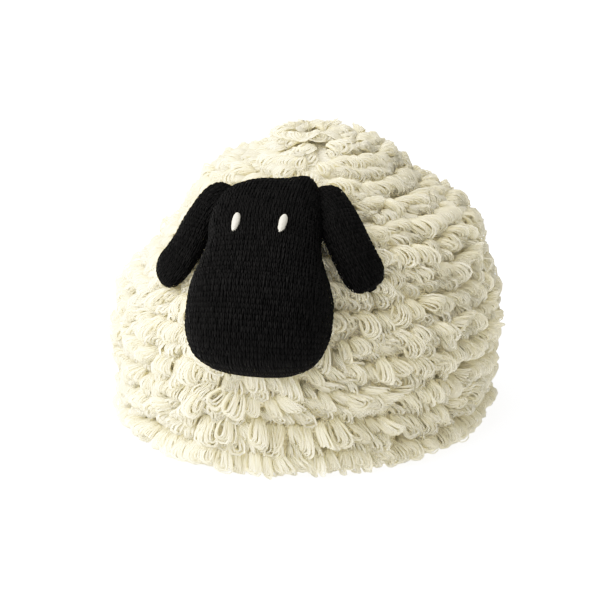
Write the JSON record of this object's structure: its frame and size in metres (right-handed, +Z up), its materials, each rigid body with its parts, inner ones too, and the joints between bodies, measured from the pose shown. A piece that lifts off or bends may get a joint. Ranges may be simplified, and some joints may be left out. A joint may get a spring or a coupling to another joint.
{
  "type": "tea cosy",
  "caption": "Hollow knitted tea cosy with a tiered loop pile, slits for a spout and a handle, and a stuffed sheep's head with hanging ears on its front.",
  "frame": {"origin": "middle of the whole part's footprint, on the surface that the hem stands on", "axes": "+Z up; the sheep's face looks towards -Y, the spout slit is at -X and the handle slit at +X"},
  "size_m": [0.2325, 0.2553, 0.1787],
  "materials": {
    "cream_wool": "matte",
    "black_knit": "matte",
    "white_thread": "satin"
  },
  "bodies": {
    "root": {"cosy_body": "cream_wool", "hem_loops": "cream_wool", "head": "black_knit", "ear_left": "black_knit", "ear_right": "black_knit", "eye_left": "white_thread", "eye_right": "white_thread"}
  },
  "joints": []
}
